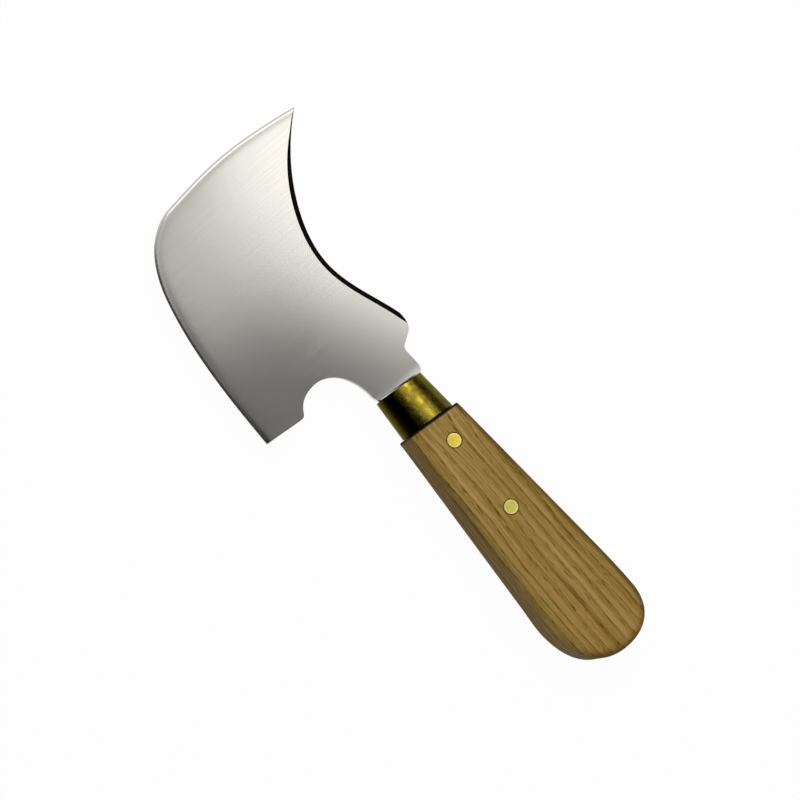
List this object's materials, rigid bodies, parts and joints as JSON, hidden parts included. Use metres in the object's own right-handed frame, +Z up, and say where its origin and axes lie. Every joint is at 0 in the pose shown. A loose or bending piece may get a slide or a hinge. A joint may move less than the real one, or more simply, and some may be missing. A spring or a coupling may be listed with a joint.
{
  "type": "quarter-moon paring knife",
  "caption": "Hand knife for paring and trimming: broad quarter-moon steel blade with a hooked tip and finger notch, brass ferrule, and a riveted oak handle.",
  "frame": {"origin": "on the flat underside of the far scale, under the handle's axis and midway between the two rivets", "axes": "+X along the handle's axis towards the blade, +Y towards the blade's heel, +Z up out of the near scale's flat"},
  "size_m": [0.2115, 0.0822, 0.021],
  "materials": {
    "blade_steel": "satin ground carbon steel",
    "ferrule_brass": "polished spun brass",
    "rivet_brass": "brass ground flush",
    "grip_oak": "oiled oak"
  },
  "bodies": {
    "root": {"blade": "blade_steel", "ferrule": "ferrule_brass", "near_scale": "grip_oak", "far_scale": "grip_oak", "front_rivet_socket": "rivet_brass", "front_rivet_pin": "rivet_brass", "rear_rivet_socket": "rivet_brass", "rear_rivet_pin": "rivet_brass"}
  },
  "joints": []
}
